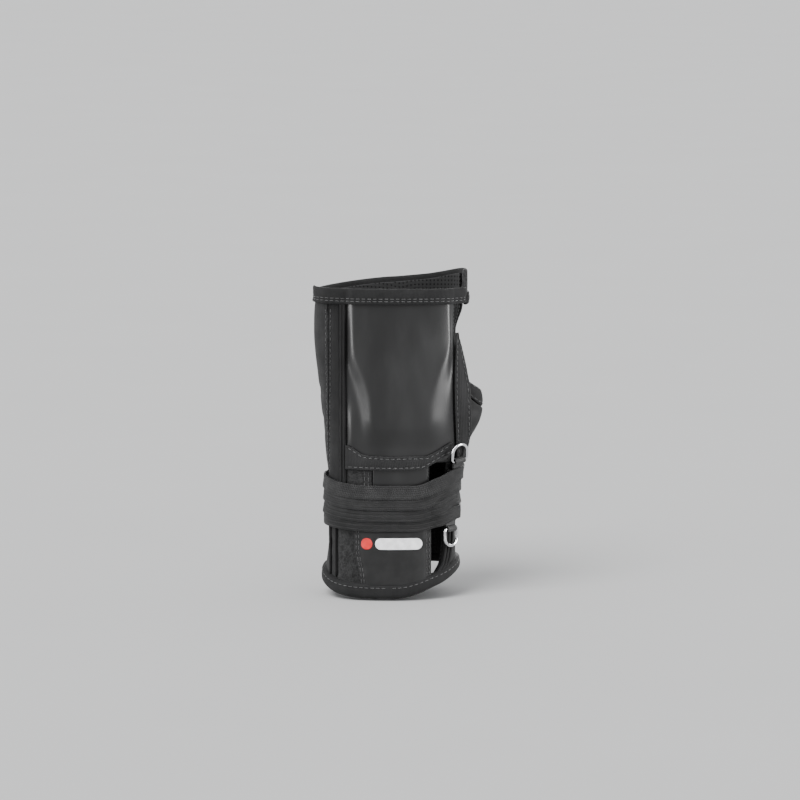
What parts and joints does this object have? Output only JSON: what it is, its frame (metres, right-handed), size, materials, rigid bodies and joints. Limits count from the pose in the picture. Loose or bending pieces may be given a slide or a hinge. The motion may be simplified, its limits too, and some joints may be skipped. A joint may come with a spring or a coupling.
{
  "type": "wrist guard",
  "caption": "Slip-on right wrist guard: neoprene hand section and cuff, domed palm plate, back splint, wound elastic wrist strap, thumb loop and D-rings.",
  "frame": {"origin": "centre of the wearer's wrist, on the axis where the guard bends", "axes": "+Z to the fingers, -Y out of the palm, +X to the thumb"},
  "size_m": [0.1015, 0.0605, 0.1965],
  "materials": {
    "plate_plastic": "satin black moulded plastic",
    "splint_plastic": "black sheet plastic",
    "foam": "closed-cell foam",
    "neoprene": "nylon-faced neoprene",
    "jersey": "ribbed stretch jersey and binding",
    "spacer_mesh": "perforated lining mesh",
    "elastic": "ribbed elastic webbing",
    "webbing": "woven nylon webbing",
    "hook_and_loop": "hook-and-loop tape",
    "print": "white printed bar",
    "ring_steel": "nickel-plated steel wire"
  },
  "bodies": {
    "cuff": {"cuff_lining": "spacer_mesh", "cuff_palm_panel": "neoprene", "tongue_pocket": "neoprene", "cuff_ulnar_panel": "jersey", "ulnar_piping_front": "jersey", "ulnar_piping_side": "jersey", "cuff_back_panel": "neoprene", "cuff_radial_panel": "neoprene", "slit_binding": "jersey", "cuff_hem": "jersey", "badge": "print", "elastic_strap": "elastic", "loop_patch": "hook_and_loop", "lower_ring_tab": "webbing", "palm_plate_tongue": "plate_plastic", "back_splint": "splint_plastic", "wrist_gusset": "elastic"},
    "hand": {"palm_plate": "plate_plastic", "palm_foam_pad": "foam", "hand_lining_palm": "spacer_mesh", "hand_lining_back": "spacer_mesh", "hand_back_panel": "neoprene", "ulnar_panel": "jersey", "palm_edge_panel": "neoprene", "plate_piping": "jersey", "plate_crossband": "jersey", "finger_hem_palm": "jersey", "finger_hem_back": "jersey", "web_strap": "neoprene", "web_strap_fold": "jersey", "radial_border": "jersey", "thumb_gusset": "neoprene", "thumb_band": "jersey", "upper_ring_tab": "webbing"},
    "strap_end": {"pull_tab": "webbing", "hook_patch": "hook_and_loop"},
    "upper_ring": {"upper_d_ring": "ring_steel"},
    "lower_ring": {"lower_d_ring": "ring_steel"}
  },
  "joints": [
    {"name": "wrist_flex", "type": "hinge", "parent": "cuff", "child": "hand", "pos_m": [0, 0, 0], "axis": [1, 0, 0], "range_deg": [-15, 15], "stiffness_Nm_per_rad": 1.5, "deforming": ["wrist_gusset", "palm_plate_tongue", "back_splint"]},
    {"name": "strap_end_peel", "type": "hinge", "parent": "cuff", "child": "strap_end", "pos_m": [0.0247, 0.0255, -0.041], "axis": [0, 0, -1], "range_deg": [0, 90]},
    {"name": "upper_ring_swing", "type": "hinge", "parent": "hand", "child": "upper_ring", "pos_m": [0.0402, -0.01863, 0.01005], "axis": [0.7966, 0.5899, 0.1322], "range_deg": [0, 100]},
    {"name": "lower_ring_swing", "type": "hinge", "parent": "cuff", "child": "lower_ring", "pos_m": [0.03522, -0.01836, -0.03117], "axis": [-0.6899, -0.7239, 0], "range_deg": [0, 100]}
  ]
}
